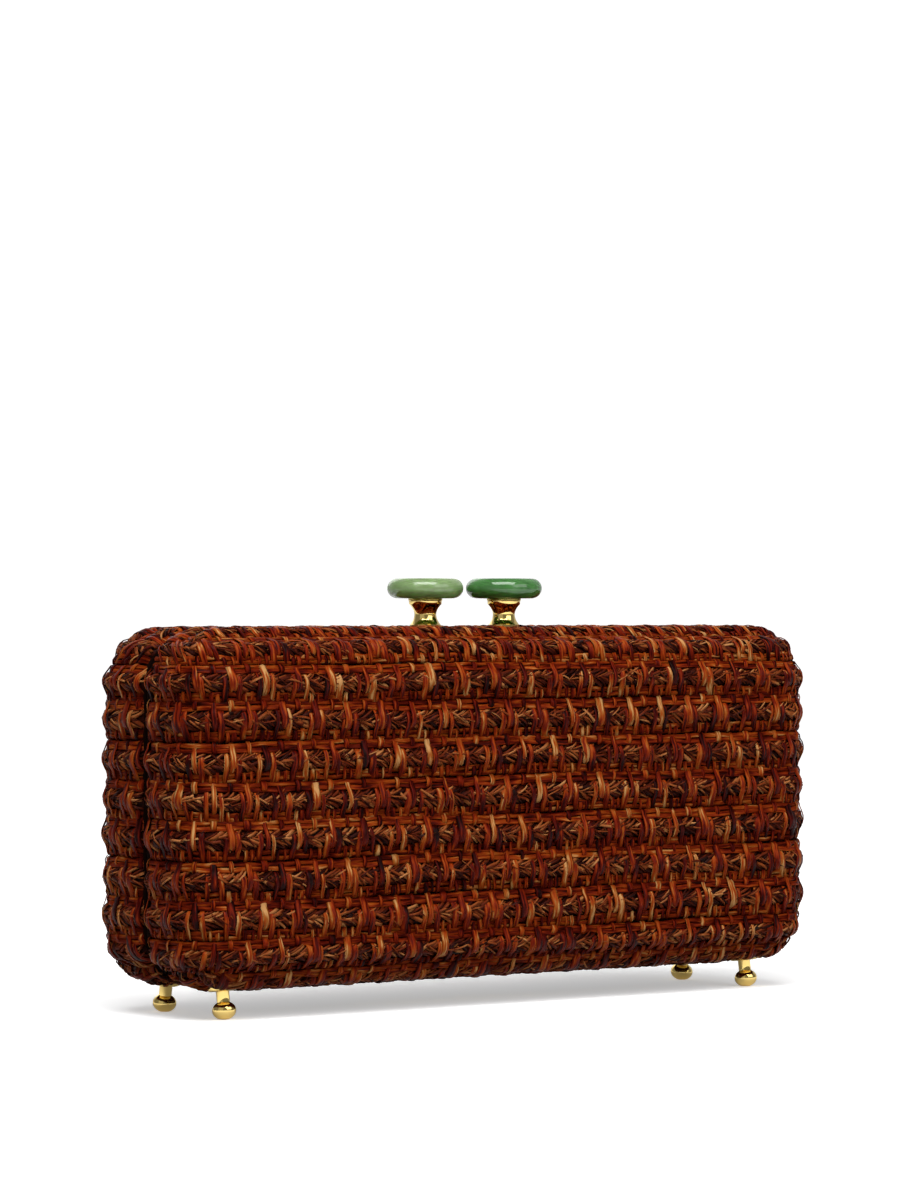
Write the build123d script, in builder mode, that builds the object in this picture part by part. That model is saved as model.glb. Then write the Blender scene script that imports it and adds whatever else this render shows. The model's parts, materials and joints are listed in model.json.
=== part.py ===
"""A hard box clutch covered with woven raffia, opened by a hinge along its bottom seam.

Two pan-shaped halves meet at the XZ plane. The front half lies towards -Y and the back half is the same half turned
round about Z. The origin is on the floor under the middle of the bag, +Z is up and +X runs along the bag's width.
All lengths are millimetres.
"""

import os
from math import copysign, cos, pi, radians, sin, sqrt, tan

from build123d import *

# Body, measured over the braided rows
body_width = 202.0
body_height = 91.4
body_depth = 53.0
floor_clearance = 6.4
corner_radius = 15.5
face_edge_radius = 13.0

# Woven cover
cover_thickness = 3.0
braid_height = 1.4
row_pitch = 9.83
row_offset = 2.5
braid_width = 6.2
strap_rise = 0.8
strap_pitch = 10.0
strap_width = 4.0
strap_length = 5.6
face_edge_share = 0.6
wall_row_depth = 3.0
cover_seam_gap = 0.8
bottom_seam_gap = 1.6

# Moulded shell, lining and brass rim frame
shell_thickness = 2.0
lining_thickness = 0.6
lining_setback = 0.6
mouth_gap = 0.25
frame_thickness = 1.0
frame_width = 7.0
frame_mouth_chamfer = 0.7

# Twin-knob clasp
knob_spacing = 18.2
knob_offset = 5.0
stone_diameter = 19.8
stone_thickness = 5.0
post_height = 7.35
post_collar_diameter = 9.0
post_collar_height = 1.5
post_neck_diameter = 5.8
post_neck_height = 0.8
post_base_diameter = 8.2
post_base_height = 0.2
knob_shank = 2.6
knob_plate_size = 7.0
knob_plate_thickness = 0.8
shank_end = 0.4
stone_flat_count = 36
post_flat_count = 28

# Ball feet
foot_inset = 16.6
foot_offset = 12.6
foot_splay_deg = 9.0
foot_ball_diameter = 6.1
foot_ball_height = 4.8
foot_neck_diameter = 3.3
foot_flange_diameter = 7.2
foot_flange_proud = 0.8
foot_flat_count = 20
foot_shank = 2.2
foot_flat_depth = 0.2

# Hinge
hinge_length = 60.0
end_knuckle_length = 18.0
knuckle_diameter = 2.8
knuckle_gap = 0.3
pin_diameter = 1.3
pin_clearance = 0.05
leaf_width = 7.0
leaf_thickness = 0.7
hinge_clearance = 0.4

# Closing magnets
magnet_inset = 56.0
magnet_length = 14.0
magnet_depth = 3.0
magnet_height = 2.6
magnet_setback = 0.5

# Fits, and how far a cut runs past the face it opens
hole_clearance = 0.2
shank_clearance = 0.05
overrun = 5.0

# Places worked out from the sizes above
body_bottom = floor_clearance
body_top = floor_clearance + body_height
body_middle = floor_clearance + body_height / 2
half_depth = body_depth / 2
frame_back = mouth_gap + frame_width
shell_top = body_top - cover_thickness
shell_bottom = body_bottom + cover_thickness
wall_thickness = cover_thickness + shell_thickness + lining_thickness
hinge_axis_height = shell_bottom - knuckle_diameter / 2
eighth_turn = pi / 4
corner_share = 2 - sqrt(2)


def rounding_cuts(radius):
    """The two cuts that turn a square corner into three flats touching an arc."""
    return radius * corner_share, radius * (tan(eighth_turn / 2) - tan(eighth_turn / 4))


def half_block(inset, facets):
    """A solid front half, inset from the braid tops all over, its face edge rounded by one or three flats."""
    corner_cut, corner_recut = rounding_cuts(corner_radius - inset)
    edge_cut, edge_recut = rounding_cuts(face_edge_radius - inset)
    with BuildPart() as block:
        with BuildSketch(Plane.XZ) as outline:
            with Locations((0, body_middle)):
                Rectangle(body_width - 2 * inset, body_height - 2 * inset)
            chamfer(outline.vertices(), corner_cut)
            chamfer(outline.vertices(), corner_recut)
        extrude(amount=half_depth - inset)
        chamfer(block.faces().sort_by(Axis.Y)[0].edges(), edge_cut)
        if facets > 1:
            loops = block.edges().filter_by(Plane.XZ).group_by(Axis.Y)
            chamfer(loops[0] + loops[1], edge_recut)
    return block.part


def turned_round(part):
    """The back half's copy of a front piece."""
    return part.rotate(Axis.Z, 180)


def write(part, name):
    """Labels a finished piece and writes its STEP file."""
    part.label = name
    export_step(part, f"parts/{name}.step")


def write_pair(part, name):
    """Writes a front piece and the same piece on the back half."""
    write(part, f"front_{name}")
    write(turned_round(part), f"back_{name}")


os.makedirs("parts", exist_ok=True)

# Places of the knob and the feet on the front half
knob_x = knob_spacing / 2
knob_y = -knob_offset
foot_lean = radians(foot_splay_deg)
foot_axis = Vector(0, -sin(foot_lean), -cos(foot_lean))
foot_sides = (-1, 1)
ball_centre_height = foot_ball_height / 2 - foot_flat_depth
foot_length = (shell_bottom - ball_centre_height) / cos(foot_lean)


def foot_seat(side):
    """The point where a front foot's axis meets the shell."""
    return Vector(side * (body_width / 2 - foot_inset), -foot_offset, shell_bottom)


# Square holes that keep the knob and the feet from turning in the frame, shell and lining
with BuildPart() as knob_shank_hole:
    with BuildSketch(Plane.XY.offset(body_top)):
        with Locations((knob_x, knob_y)):
            Rectangle(knob_shank + 2 * shank_clearance, knob_shank + 2 * shank_clearance)
    extrude(amount=-wall_thickness - overrun)

with BuildPart() as foot_shank_holes:
    for side in foot_sides:
        with BuildSketch(Plane(foot_seat(side), x_dir=(1, 0, 0), z_dir=foot_axis)):
            Rectangle(foot_shank + 2 * shank_clearance, foot_shank + 2 * shank_clearance)
        extrude(amount=shell_thickness + overrun, both=True)

# Woven cover: where its rows lie on the profile that runs up the face and over the edge
face_flat = body_height / 2 - face_edge_radius
edge_length = face_edge_radius * pi / 2


def profile_point(length):
    """Depth and height of the profile at a length along it, counted up the face from mid height."""
    if length <= face_flat:
        return -half_depth, length
    turn = (length - face_flat) / face_edge_radius
    if turn <= pi / 2:
        return -half_depth + face_edge_radius * (1 - cos(turn)), face_flat + face_edge_radius * sin(turn)
    return -half_depth + face_edge_radius + length - face_flat - edge_length, body_height / 2


half_braid = braid_width / 2
wall_length = face_flat + edge_length + half_depth - face_edge_radius
flat_reach = face_flat + face_edge_radius * tan(eighth_turn / 4)
face_reach = face_flat + edge_length * face_edge_share
row_reach = wall_length - half_braid - cover_seam_gap
rows_each_way = int(wall_length / row_pitch)
row_centres = {row: row_offset + row * row_pitch for row in range(-rows_each_way, rows_each_way + 1)}
face_rows = [centre for centre in row_centres.values() if abs(centre) <= face_reach]
wall_rows = [centre for centre in row_centres.values() if face_reach < abs(centre) <= row_reach]
strap_rows = [row for row, centre in row_centres.items() if abs(centre) + strap_length / 2 <= flat_reach]
straps_each_way = int((body_width / 2 - corner_radius - strap_width / 2) / strap_pitch)


def profile_height(length):
    """Height of the profile above mid height, below it for a length down the face."""
    return copysign(profile_point(abs(length))[1], length)


with BuildPart() as row_slabs:
    for centre in face_rows:
        low = profile_height(centre - half_braid)
        high = profile_height(centre + half_braid)
        with BuildSketch(Plane.XY.offset(body_middle + low)):
            Rectangle(body_width + overrun, body_depth + overrun)
        extrude(amount=high - low)
    for centre in wall_rows:
        near = profile_point(abs(centre) - half_braid)[0]
        far = profile_point(abs(centre) + half_braid)[0]
        with BuildSketch(Plane.XZ.offset(-near)):
            with Locations((0, body_middle + copysign(body_height / 2, centre))):
                Rectangle(body_width - 2 * corner_radius, 2 * wall_row_depth)
        extrude(amount=near - far)

with BuildPart() as row_ridges:
    add(half_block(0, facets=3))
    add(row_slabs.part, mode=Mode.INTERSECT)

with BuildPart() as straps:
    for row in strap_rows:
        stagger = (row % 2) / 2
        steps = [step + stagger for step in range(-straps_each_way, straps_each_way + 1)]
        places = [(step * strap_pitch, -half_depth) for step in steps if step <= straps_each_way]
        with BuildSketch(Plane.XY.offset(body_middle + row_centres[row] - strap_length / 2)):
            with Locations(*places):
                Polygon((-strap_width / 2, 0), (strap_width / 2, 0), (0, -strap_rise), align=None)
        extrude(amount=strap_length)

with BuildPart() as hinge_pocket:
    pocket_length = hinge_length + 2 * hinge_clearance
    pocket_width = leaf_width + hinge_clearance
    notch_width = knuckle_diameter / 2 + hinge_clearance
    with BuildSketch(Plane.XY.offset(shell_bottom - leaf_thickness - hinge_clearance)):
        with Locations((0, -pocket_width / 2)):
            Rectangle(pocket_length, pocket_width)
    extrude(amount=leaf_thickness + 2 * hinge_clearance)
    with BuildSketch(Plane.XY.offset(body_bottom - overrun)):
        with Locations((0, -notch_width / 2)):
            Rectangle(pocket_length, notch_width)
    extrude(amount=cover_thickness + overrun)

# The lips draw back below the hinge axis, where they swing towards each other as the bag opens
with BuildPart() as bottom_relief:
    with BuildSketch(Plane.XY.offset(hinge_axis_height)):
        Rectangle(body_width + overrun, 2 * bottom_seam_gap)
    extrude(amount=-hinge_axis_height)

with BuildPart() as fitting_holes:
    with BuildSketch(Plane.XY.offset(shell_top - overrun)):
        with Locations((knob_x, knob_y)):
            Circle(post_base_diameter / 2 + hole_clearance)
    extrude(amount=cover_thickness + 2 * overrun)
    for side in foot_sides:
        with BuildSketch(Plane(foot_seat(side), x_dir=(1, 0, 0), z_dir=foot_axis)):
            Circle(foot_flange_diameter / 2 + hole_clearance)
        extrude(amount=cover_thickness + overrun, both=True)

with BuildPart() as woven_cover:
    add(half_block(braid_height, facets=3))
    add(row_ridges.part)
    add(straps.part)
    add(half_block(cover_thickness, facets=1), mode=Mode.SUBTRACT)
    split(bisect_by=Plane.XZ.offset(cover_seam_gap), keep=Keep.TOP)
    add(bottom_relief.part, mode=Mode.SUBTRACT)
    add(hinge_pocket.part, mode=Mode.SUBTRACT)
    add(fitting_holes.part, mode=Mode.SUBTRACT)
write_pair(woven_cover.part, "woven_cover")

# Brass rim frame: a band round the mouth that carries the hinge leaf and the knob
with BuildPart() as frame_band:
    add(half_block(cover_thickness, facets=1))
    add(half_block(cover_thickness + frame_thickness, facets=1), mode=Mode.SUBTRACT)
    split(bisect_by=Plane.XZ.offset(frame_back), keep=Keep.BOTTOM)

with BuildPart() as rim_frame:
    add(frame_band.part)
    split(bisect_by=Plane.XZ.offset(mouth_gap), keep=Keep.TOP)
    chamfer(rim_frame.faces().sort_by(Axis.Y)[-1].outer_wire().edges(), frame_mouth_chamfer)
    add(knob_shank_hole.part, mode=Mode.SUBTRACT)
write_pair(rim_frame.part, "rim_frame")

# Moulded shell, rebated outside its mouth for the rim frame
with BuildPart() as moulded_shell:
    add(half_block(cover_thickness, facets=1))
    add(half_block(cover_thickness + shell_thickness, facets=1), mode=Mode.SUBTRACT)
    add(frame_band.part, mode=Mode.SUBTRACT)
    split(bisect_by=Plane.XZ.offset(mouth_gap), keep=Keep.TOP)
    add(knob_shank_hole.part, mode=Mode.SUBTRACT)
    add(foot_shank_holes.part, mode=Mode.SUBTRACT)
write_pair(moulded_shell.part, "moulded_shell")

# Fabric lining inside the shell
with BuildPart() as lining:
    add(half_block(cover_thickness + shell_thickness, facets=1))
    add(half_block(wall_thickness, facets=1), mode=Mode.SUBTRACT)
    split(bisect_by=Plane.XZ.offset(lining_setback), keep=Keep.TOP)
    add(knob_shank_hole.part, mode=Mode.SUBTRACT)
write_pair(lining.part, "lining")

# Knob post: a turned spool on the frame, with a square shank peened over a plate inside
post_top = body_top + post_height
base_edge = body_top + post_base_height
collar_edge = post_top - post_collar_height
neck_low = (base_edge + collar_edge - post_neck_height) / 2
neck_high = (base_edge + collar_edge + post_neck_height) / 2
with BuildPart() as knob_post:
    with BuildSketch(Plane.XY.offset(shell_top)):
        with Locations((knob_x, knob_y)):
            RegularPolygon(post_base_diameter / 2, post_flat_count, major_radius=False)
    extrude(amount=neck_low - shell_top)
    with BuildSketch(Plane.XY.offset(neck_high)):
        with Locations((knob_x, knob_y)):
            RegularPolygon(post_collar_diameter / 2, post_flat_count, major_radius=False)
    extrude(amount=post_top - neck_high)
    base_top = knob_post.faces().filter_by(Axis.Z).sort_by(Axis.Z)[1]
    base_flare = (post_base_diameter - post_neck_diameter) / 2
    chamfer(base_top.edges(), base_flare, neck_low - base_edge, reference=base_top)
    collar_bottom = knob_post.faces().filter_by(Axis.Z).sort_by(Axis.Z)[2]
    collar_flare = (post_collar_diameter - post_neck_diameter) / 2
    chamfer(collar_bottom.edges(), collar_flare, collar_edge - neck_high, reference=collar_bottom)
    with BuildSketch(Plane.XY.offset(neck_low)):
        with Locations((knob_x, knob_y)):
            RegularPolygon(post_neck_diameter / 2, post_flat_count, major_radius=False)
    extrude(amount=post_neck_height)
    with BuildSketch(Plane.XY.offset(shell_top)):
        with Locations((knob_x, knob_y)):
            Rectangle(knob_shank, knob_shank)
    extrude(amount=-(wall_thickness - cover_thickness + knob_plate_thickness + shank_end))
write(knob_post.part, "right_knob_post")
write(turned_round(knob_post.part), "left_knob_post")

# Backing plate that the knob's shank is peened over
with BuildPart() as knob_plate:
    with BuildSketch(Plane.XY.offset(body_top - wall_thickness)):
        with Locations((knob_x, knob_y)):
            Rectangle(knob_plate_size, knob_plate_size)
            Rectangle(knob_shank + 2 * shank_clearance, knob_shank + 2 * shank_clearance, mode=Mode.SUBTRACT)
    extrude(amount=-knob_plate_thickness)
write(knob_plate.part, "right_knob_plate")
write(turned_round(knob_plate.part), "left_knob_plate")

# Stone disc on the post's collar, its rim a half round of seven flats
rim_cut, rim_recut = rounding_cuts(stone_thickness / 2)
with BuildPart() as stone_disc:
    with BuildSketch(Plane.XY.offset(post_top)):
        with Locations((knob_x, knob_y)):
            RegularPolygon(stone_diameter / 2, stone_flat_count, major_radius=False)
    extrude(amount=stone_thickness)
    chamfer(stone_disc.edges().filter_by(Plane.XY), rim_cut)
    chamfer(stone_disc.edges().filter_by(Plane.XY), rim_recut)
write(stone_disc.part, "right_stone_disc")
write(turned_round(stone_disc.part), "left_stone_disc")

# Ball foot: turned about a leaning axis and cut level at the floor, with a square shank through the shell
flange_top = foot_flange_diameter / 2 * tan(foot_lean)
flange_end = (cover_thickness - braid_height) / cos(foot_lean) + foot_flange_proud
shank_length = shell_thickness / cos(foot_lean) - foot_shank / 2 * tan(foot_lean)


def ball_foot(side):
    """One front foot, its places measured down the leaning axis from the shell."""
    seat = foot_seat(side)
    plane = Plane(seat, x_dir=(1, 0, 0), z_dir=foot_axis)
    ball_radius = foot_ball_diameter / 2
    ball_rise = foot_ball_height / 2
    with BuildPart() as ball:
        with BuildSketch(plane.offset(foot_length - ball_rise)):
            RegularPolygon(ball_radius, foot_flat_count, major_radius=False)
        extrude(amount=foot_ball_height)
        for end in (0, -1):
            face = ball.faces().sort_by(Axis(seat, foot_axis))[end]
            chamfer(face.edges(), corner_share * ball_radius, corner_share * ball_rise, reference=face)
    with BuildPart() as foot:
        add(ball.part)
        with BuildSketch(plane.offset(flange_top)):
            RegularPolygon(foot_neck_diameter / 2, foot_flat_count, major_radius=False)
        extrude(amount=foot_length - flange_top)
        with BuildSketch(plane.offset(flange_top)):
            RegularPolygon(foot_flange_diameter / 2, foot_flat_count, major_radius=False)
        extrude(amount=flange_end - flange_top)
        split(bisect_by=Plane.XY, keep=Keep.TOP)
        with BuildSketch(Plane(seat + foot_axis * flange_top, x_dir=(1, 0, 0), z_dir=-foot_axis)):
            Rectangle(foot_shank, foot_shank)
        extrude(amount=flange_top + shank_length)
    return foot.part


for side, name, opposite in zip(foot_sides, ("left", "right"), ("right", "left")):
    foot = ball_foot(side)
    write(foot, f"front_{name}_foot")
    write(turned_round(foot), f"back_{opposite}_foot")

# Closing magnets, bars glued under the lined top wall just inside the mouth
with BuildPart() as magnets:
    with BuildSketch(Plane.XY.offset(body_top - wall_thickness)):
        with GridLocations(body_width - 2 * magnet_inset, 0, 2, 1):
            with Locations((0, -magnet_setback - magnet_depth / 2)):
                Rectangle(magnet_length, magnet_depth)
    extrude(amount=-magnet_height)
write_pair(magnets.part, "magnets")


def hinge_leaf(spans):
    """A leaf soldered under the front frame, with knuckles over the given spans of the hinge's length."""
    plate_start = knuckle_diameter / 2 + hinge_clearance
    with BuildPart() as leaf:
        with BuildSketch(Plane.XY.offset(shell_bottom)):
            with Locations((0, -(plate_start + leaf_width) / 2)):
                Rectangle(hinge_length, leaf_width - plate_start)
        extrude(amount=-leaf_thickness)
        for start, end in spans:
            with BuildSketch(Plane.YZ.offset(start - hinge_length / 2)):
                with Locations((0, hinge_axis_height)):
                    Circle(knuckle_diameter / 2)
                with Locations((-plate_start / 2, shell_bottom - leaf_thickness / 2)):
                    Rectangle(plate_start, leaf_thickness)
                with Locations((0, hinge_axis_height)):
                    Circle(pin_diameter / 2 + pin_clearance, mode=Mode.SUBTRACT)
            extrude(amount=end - start)
    return leaf.part


middle_start = end_knuckle_length + knuckle_gap
write(hinge_leaf([(middle_start, hinge_length - middle_start)]), "hinge_front_leaf")
end_spans = [(0, end_knuckle_length), (hinge_length - end_knuckle_length, hinge_length)]
write(turned_round(hinge_leaf(end_spans)), "hinge_back_leaf")

# Hinge pin
with BuildPart() as hinge_pin:
    with BuildSketch(Plane.YZ.offset(-hinge_length / 2)):
        with Locations((0, hinge_axis_height)):
            Circle(pin_diameter / 2)
    extrude(amount=hinge_length)
write(hinge_pin.part, "hinge_pin")
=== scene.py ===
# %% [markdown]
# # A box clutch in woven raffia
# The bag is two hard half shells that meet at an upright seam and hinge along the bottom. Each half is
# covered with a raffia cloth whose thick plaits run along the bag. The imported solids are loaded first,
# because every piece made below takes its place from them and moves with one of their two bodies.

# %% Load the solids
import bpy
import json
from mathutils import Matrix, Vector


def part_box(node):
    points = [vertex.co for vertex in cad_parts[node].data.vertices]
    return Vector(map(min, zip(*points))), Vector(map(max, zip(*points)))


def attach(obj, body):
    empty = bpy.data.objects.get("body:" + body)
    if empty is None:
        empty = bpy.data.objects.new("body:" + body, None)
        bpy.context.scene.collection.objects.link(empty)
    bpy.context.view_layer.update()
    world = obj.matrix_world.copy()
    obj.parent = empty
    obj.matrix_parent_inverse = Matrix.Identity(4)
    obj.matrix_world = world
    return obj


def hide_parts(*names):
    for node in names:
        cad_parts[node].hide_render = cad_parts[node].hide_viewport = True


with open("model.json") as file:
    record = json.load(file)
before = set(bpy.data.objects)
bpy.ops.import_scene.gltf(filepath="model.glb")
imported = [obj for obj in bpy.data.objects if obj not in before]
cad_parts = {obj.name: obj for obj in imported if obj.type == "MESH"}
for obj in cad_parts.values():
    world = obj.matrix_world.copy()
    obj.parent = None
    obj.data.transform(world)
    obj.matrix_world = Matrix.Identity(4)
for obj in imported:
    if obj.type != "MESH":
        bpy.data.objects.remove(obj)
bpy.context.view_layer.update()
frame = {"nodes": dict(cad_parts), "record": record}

import json
import math
from functools import partial

import bmesh
import bpy
import numpy as np
from mathutils import Matrix, Vector

MM = 0.001

# %% [markdown]
# ## One helper for nodes
# Geometry Nodes and shaders are both trees of nodes. One small function adds a node, sets its options,
# fills its sockets and hands back one of its outputs, so that a tree reads as a list of steps. A value that
# is itself a socket becomes a link. Colours are written as sRGB hex, the way a colour picker shows them,
# and Blender wants them linear. A last helper puts an object of any kind into the scene.

# %% Add a node, read a colour, show an object
MATH, VECTOR_MATH = "ShaderNodeMath", "ShaderNodeVectorMath"


def add(tree, kind, inputs=None, out=0, **settings):
    made = tree.nodes.new(kind)
    for name, value in settings.items():
        setattr(made, name, value)
    for key, value in (inputs or {}).items():
        if isinstance(value, bpy.types.NodeSocket):
            tree.links.new(value, made.inputs[key])
        else:
            made.inputs[key].default_value = value
    return made if out is None else made.outputs[out]


def linear(hex_colour):
    channels = [int(hex_colour[i:i + 2], 16) / 255 for i in (1, 3, 5)]
    return (*[c / 12.92 if c <= 0.04045 else ((c + 0.055) / 1.055) ** 2.4 for c in channels], 1.0)


def show(name, data):
    shown = bpy.data.objects.new(name, data)
    bpy.context.scene.collection.objects.link(shown)
    return shown


print("a mahogany dye in linear light", [round(c, 3) for c in linear("#6E2C0A")[:3]])

# %% [markdown]
# ## The form under the weave
# One half is a shallow pan: a flat face, a rounded edge and a wall that runs back to the seam. A pan with
# round edges is every point at one distance from a smaller flat plate, so a distance function describes it
# all, and the direction in which the distance grows is the surface normal. The sizes repeat the solids'
# own, in millimetres.

# %% Distance to the pan
low, high = [np.array(corner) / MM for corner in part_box("front_woven_cover")]
HALF_WIDTH = high[0]
HALF_HEIGHT = (high[2] - low[2]) / 2
MID_HEIGHT = (high[2] + low[2]) / 2
FACE_DEPTH = 26.5
EDGE_RADIUS = 13.0
CORNER_RADIUS = 15.5
PLATE_X = HALF_WIDTH - EDGE_RADIUS
PLATE_Z = HALF_HEIGHT - EDGE_RADIUS
PLATE_CORNER = CORNER_RADIUS - EDGE_RADIUS
PLATE_Y = FACE_DEPTH - EDGE_RADIUS


def pan_distance(x, y, z):
    across = np.abs(x) - PLATE_X + PLATE_CORNER
    upward = np.abs(z) - PLATE_Z + PLATE_CORNER
    flat = np.hypot(np.maximum(across, 0), np.maximum(upward, 0))
    flat = flat + np.minimum(np.maximum(across, upward), 0) - PLATE_CORNER
    deep = -y - PLATE_Y
    outside = np.hypot(np.maximum(flat, 0), np.maximum(deep, 0))
    return outside + np.minimum(np.maximum(flat, deep), 0) - EDGE_RADIUS


def pan_normal(p, step=0.02):
    slopes = []
    for axis in range(3):
        ahead, behind = p.copy(), p.copy()
        ahead[:, axis] += step
        behind[:, axis] -= step
        slopes.append(pan_distance(*ahead.T) - pan_distance(*behind.T))
    normal = np.stack(slopes, axis=1)
    return normal / np.linalg.norm(normal, axis=1, keepdims=True)


print("pan", round(2 * HALF_WIDTH, 1), "by", round(2 * HALF_HEIGHT, 1), "by", FACE_DEPTH, "mm")

# %% [markdown]
# ## From a flat drawing to the pan
# The weave is drawn flat, as it lay on the loom: u runs along the rows, s up across them, and h is height
# above the cloth. Rows on the face stay level when they turn round the bag's ends, so u is the length along
# a level slice of the pan. Rows on the top and bottom walls run beside the seam instead, so there u is the
# length along a ring. The cloth stops just short of the seam, and further back under the hinge, where the
# halves swing past each other.

# %% Tables of level slices
ROW_PITCH = 9.83
ROW_OFFSET = 2.5
FACE_ROWS = 4
WALL_ROWS = 7
SEAM_LIP = 0.9
HINGE_LIP = 1.7
GROUND_LIP = 0.3
HINGE_LEVEL = 8.0 - MID_HEIGHT
EDGE_LENGTH = EDGE_RADIUS * math.pi / 2
SLICES, SLICE_MARGIN = 161, 0.05
SLICE_STEP, LONGEST_SLICE = 0.5, 135
RAYS, RAY_LENGTH, HALVINGS = 700, 140.0, 40
CORNER_REACH = 11.0


def profile(s):
    """Depth, height and turn of the pan's profile at a length s from mid height."""
    size = np.abs(s)
    turn = np.clip((size - PLATE_Z) / EDGE_RADIUS, 0, math.pi / 2)
    past = np.maximum(size - PLATE_Z - EDGE_LENGTH, 0)
    y = -FACE_DEPTH + EDGE_RADIUS * (1 - np.cos(turn)) + past
    z = np.minimum(size, PLATE_Z) + EDGE_RADIUS * np.sin(turn)
    return y, np.sign(s) * z, turn


top_slice = HALF_HEIGHT - SLICE_MARGIN
slice_heights = np.linspace(-top_slice, top_slice, SLICES)
slice_lengths = np.arange(0, LONGEST_SLICE, SLICE_STEP)
slice_x = np.zeros((len(slice_heights), len(slice_lengths)))
slice_y = np.zeros_like(slice_x)
slice_ends = np.zeros(len(slice_heights))
rays = math.pi / 2 * (1 - (1 - np.linspace(0, 1, RAYS)) ** 2)
ray_x, ray_y = np.sin(rays), -np.cos(rays)
for i, level in enumerate(slice_heights):
    near, far = np.zeros(RAYS), np.full(RAYS, RAY_LENGTH)
    for _ in range(HALVINGS):
        middle = (near + far) / 2
        inside = pan_distance(middle * ray_x, middle * ray_y, np.full(RAYS, level)) < 0
        near, far = np.where(inside, middle, near), np.where(inside, far, middle)
    x, y = near * ray_x, near * ray_y
    length = np.concatenate([[0], np.cumsum(np.hypot(np.diff(x), np.diff(y)))])
    slice_x[i] = np.interp(slice_lengths, length, x)
    slice_y[i] = np.interp(slice_lengths, length, y)
    slice_ends[i] = np.interp(-SEAM_LIP, y, length)
WALL_END = PLATE_Z + EDGE_LENGTH + PLATE_Y
WALL_REACH = HALF_WIDTH - CORNER_RADIUS + CORNER_REACH

# %% [markdown]
# A point past the seam lip is tucked down, as the cloth's cut edge is glued round the lip.

# %% Lay flat points on the pan
LAND_INSET = 2.4
ROLL, ROLL_DROP = 3.0, 1.1
DEEPEST = -2.7


def wall_lip(s):
    return WALL_END - np.where(s > 0, SEAM_LIP, HINGE_LIP)


def row_limit(row, s):
    """How far along its row a strand at s may reach."""
    face_limit = np.interp(profile(s)[1], slice_heights, slice_ends)
    return np.where(np.abs(row) > FACE_ROWS, WALL_REACH, face_limit)


def lay_on_pan(u, s, h, row):
    wall = np.abs(row) > FACE_ROWS
    z = profile(s)[1]
    # Level slices for the face rows
    limit = np.interp(z, slice_heights, slice_ends)
    over_end = np.maximum(np.abs(u) - limit, 0)
    length = np.minimum(np.abs(u), limit) / SLICE_STEP
    level = np.interp(z, slice_heights, np.arange(len(slice_heights)))
    i = np.clip(level.astype(int), 0, len(slice_heights) - 2)
    j = np.clip(length.astype(int), 0, len(slice_lengths) - 2)
    a, b = level - i, length - j
    corners = (
        (i, j, (1 - a) * (1 - b)), (i, j + 1, (1 - a) * b),
        (i + 1, j, a * (1 - b)), (i + 1, j + 1, a * b),
    )
    face_x = sum(slice_x[m, n] * w for m, n, w in corners)
    face_y = sum(slice_y[m, n] * w for m, n, w in corners)
    # Rings beside the seam for the wall rows
    over_lip = np.maximum(np.abs(s) - wall_lip(s), 0)
    ring_y, ring_z, ring_turn = profile(np.sign(s) * np.minimum(np.abs(s), wall_lip(s)))
    bend = PLATE_CORNER + EDGE_RADIUS * np.sin(ring_turn)
    straight = PLATE_X + EDGE_RADIUS * np.sin(ring_turn) - bend
    angle = np.maximum(np.abs(u) - straight, 0) / bend
    ring_x = np.minimum(np.abs(u), straight) + bend * np.sin(angle)
    ring_z = ring_z - np.sign(s) * bend * (1 - np.cos(angle))
    over_reach = np.maximum(np.abs(u) - WALL_REACH, 0)
    base = np.stack([
        np.sign(u) * np.where(wall, ring_x, face_x),
        np.where(wall, ring_y, face_y),
        np.where(wall, ring_z, z),
    ], axis=1)
    # The cloth rolls over before the seam
    near_end = np.clip(1 + (np.abs(u) - limit) / ROLL, 0, 1)
    near_lip = np.clip(1 + (np.abs(s) - wall_lip(s)) / ROLL, 0, 1)
    rolled = ROLL_DROP * np.where(wall, near_lip, near_end) ** 2
    tucked = h - LAND_INSET - rolled - np.where(wall, over_lip + over_reach, over_end)
    return base + pan_normal(base) * np.maximum(tucked, DEEPEST)[:, None]


print("rows from", -WALL_ROWS, "to", WALL_ROWS, "at", ROW_PITCH, "mm")

# %% [markdown]
# ## One tree for every strand
# Straps, plait fibres and wefts are all the same thing: a flattened strand, bowed along its length and set
# out in rows like bricks. So one Geometry Nodes tree makes them all from named sizes. Sizes with three
# directions are vectors: along the row, up across the rows, and height. In these cells grow is the helper
# add, bound to this tree.

# %% Inputs of the strand tree
strands = bpy.data.node_groups.new("raffia_strands", "GeometryNodeTree")
WHOLE = ("Columns", "Rows", "Segments", "Sides", "Seed")
SIZES = ("Stagger", "Length", "Width", "Thickness", "Hump", "Dip", "Wave Height", "Wave Pitch")
DIRECTIONS = ("Pitch", "Shift", "Turn", "Place Spread", "Turn Spread", "Size Spread")
for names, kind in ((WHOLE, "Int"), (SIZES, "Float"), (DIRECTIONS, "Vector"), (("Material",), "Material")):
    for name in names:
        strands.interface.new_socket(name, in_out="INPUT", socket_type="NodeSocket" + kind)
strands.interface.new_socket("Geometry", in_out="OUTPUT", socket_type="NodeSocketGeometry")
grow = partial(add, strands)
given = grow("NodeGroupInput", out=None).outputs
SOCKETS = {item.name: item.identifier for item in strands.interface.items_tree if item.in_out == "INPUT"}
EITHER_WAY = {0: (-1, -1, -1), 1: (1, 1, 1)}
STORE = "GeometryNodeStoreNamedAttribute"
VALUE_PER_POINT = {"data_type": "FLOAT", "domain": "POINT"}
print("inputs", len(SOCKETS))

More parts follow.
